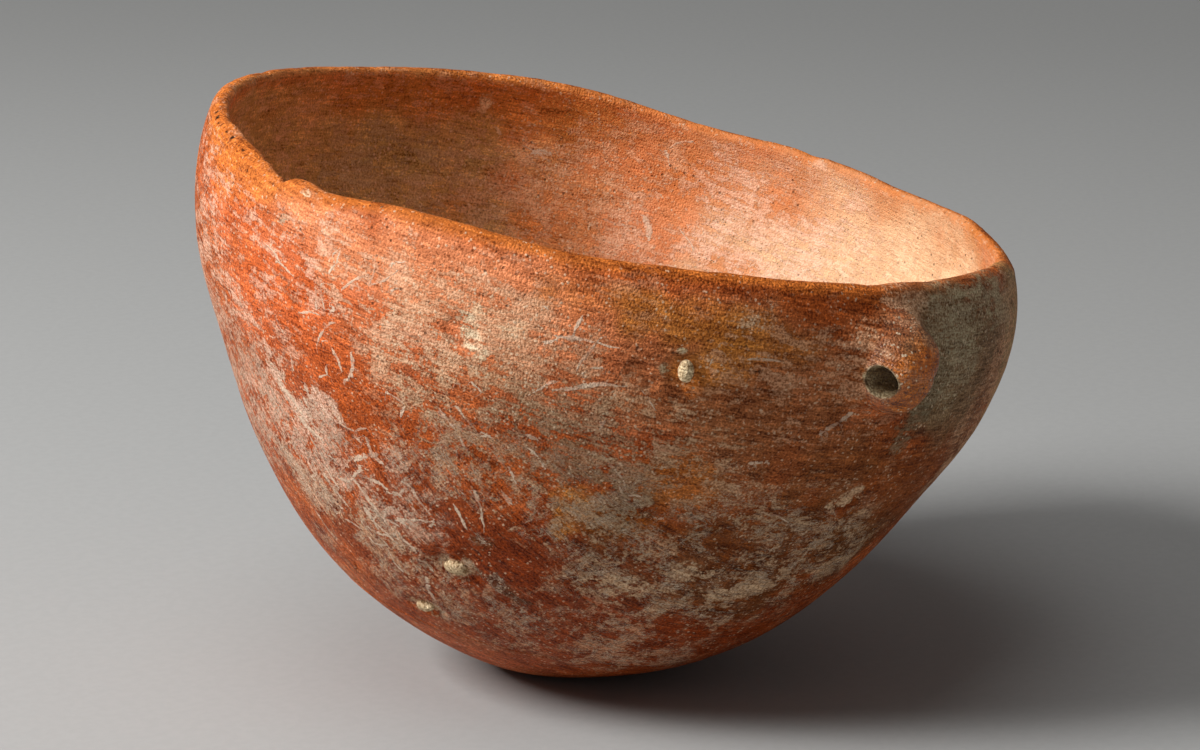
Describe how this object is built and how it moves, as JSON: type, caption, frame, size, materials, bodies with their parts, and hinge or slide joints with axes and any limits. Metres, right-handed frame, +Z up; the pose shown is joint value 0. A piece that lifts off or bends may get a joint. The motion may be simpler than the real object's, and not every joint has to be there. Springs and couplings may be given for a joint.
{
  "type": "lugged pottery bowl",
  "caption": "Deep round-bottomed hand-built pottery bowl with an uneven rim and one pierced lug below it, leaning as it rests, in burnished red slip with fire clouds.",
  "frame": {"origin": "middle of the flat worn under the round base, where the bowl stands", "axes": "+Z up as the bowl rests, -Y towards the lug, the string hole runs along X"},
  "size_m": [0.1719, 0.1818, 0.1237],
  "materials": {
    "red_slip": "burnished red-brown slip, semi-matt, weathered, with pale lime bloom",
    "orange_lip": "burnished slip worn to orange and ochre along the lip, grey-green fire cloud by the lug",
    "burnt_lug": "burnished slip, fired darker, slightly glossy on the knob",
    "lime": "matt cream lime grit"
  },
  "bodies": {
    "root": {"base_bowl": "red_slip", "wall_coil_1": "red_slip", "wall_coil_2": "red_slip", "wall_coil_3": "red_slip", "wall_coil_4": "red_slip", "rim_band": "orange_lip", "lug": "burnt_lug", "lug_collar": "red_slip", "lime_grit_shoulder": "lime", "lime_grit_belly": "lime", "lime_grit_foot": "lime"}
  },
  "joints": []
}
